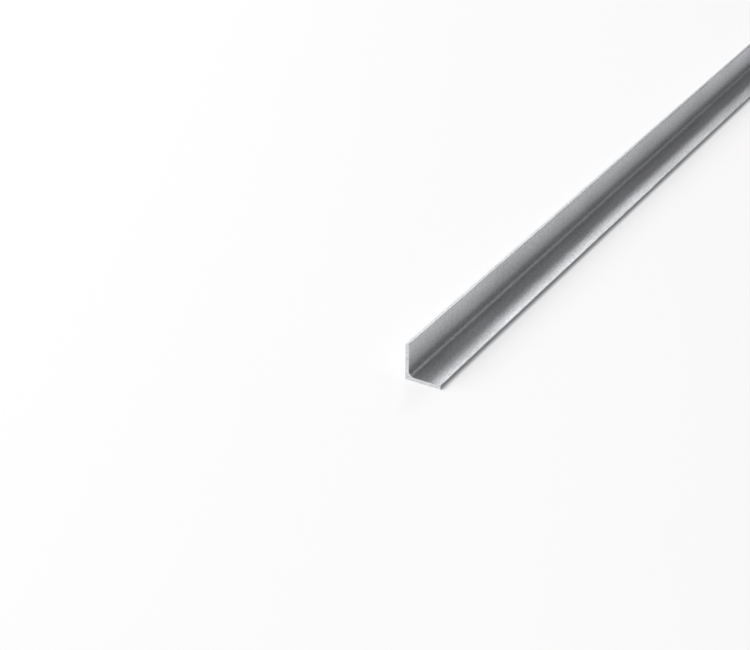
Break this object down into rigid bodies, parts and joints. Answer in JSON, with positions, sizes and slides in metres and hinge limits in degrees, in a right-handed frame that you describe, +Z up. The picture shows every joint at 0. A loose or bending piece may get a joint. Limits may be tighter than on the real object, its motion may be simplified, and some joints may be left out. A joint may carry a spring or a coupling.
{
  "type": "stainless steel angle bar",
  "caption": "Straight hot-rolled angle bar with two equal legs at a right angle, a rounded root inside, a sharp heel outside and plain sawn ends.",
  "frame": {"origin": "middle of the foot leg's underside, halfway along the bar", "axes": "+X along the bar, +Z up the standing leg, +Y out through the standing leg's outer face, so the foot leg's toe points to -Y"},
  "size_m": [1, 0.03, 0.03],
  "materials": {
    "steel": "stainless steel as hot rolled, annealed and pickled: satin grey with faint clouding and fine roll marks, darker in the root and on the foot's toe, ends sawn bright"
  },
  "bodies": {
    "root": {"angle_bar": "steel"}
  },
  "joints": []
}
